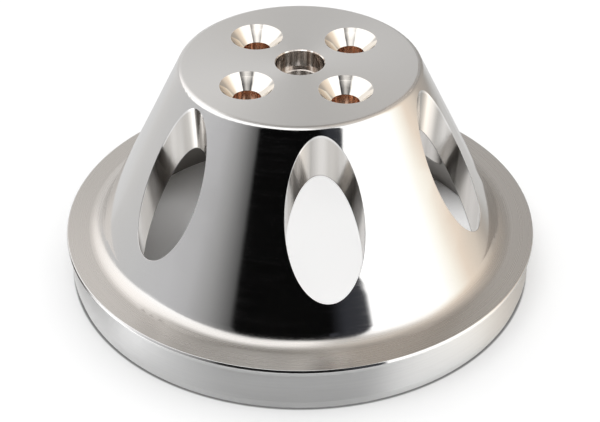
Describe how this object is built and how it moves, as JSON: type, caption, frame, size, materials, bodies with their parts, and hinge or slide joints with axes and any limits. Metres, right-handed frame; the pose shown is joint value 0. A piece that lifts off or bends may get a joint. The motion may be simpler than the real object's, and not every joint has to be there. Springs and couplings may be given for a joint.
{
  "type": "belt pulley",
  "caption": "Bell-shaped metal belt pulley: flat nose with a bushed pilot bore and countersunk bolt holes, windowed cone, flanged rim with a plain turned band.",
  "frame": {"origin": "middle of the rim's flat open end, which the pulley stands on", "axes": "+Z along the axis of rotation from the rim to the nose; -Y is the side where one window lies 8.5 degrees towards +X"},
  "size_m": [0.162, 0.162, 0.0782],
  "materials": {
    "body_metal": "polished cone and flange with fine turning marks, satin nose face",
    "ring_metal": "fine turned",
    "bush_metal": "fine bored",
    "sleeve_metal": "reamed copper alloy"
  },
  "bodies": {
    "root": {"pulley_body": "body_metal", "belt_ring": "ring_metal", "pilot_bush": "bush_metal", "bolt_sleeve_1": "sleeve_metal", "bolt_sleeve_2": "sleeve_metal", "bolt_sleeve_3": "sleeve_metal", "bolt_sleeve_4": "sleeve_metal"}
  },
  "joints": []
}
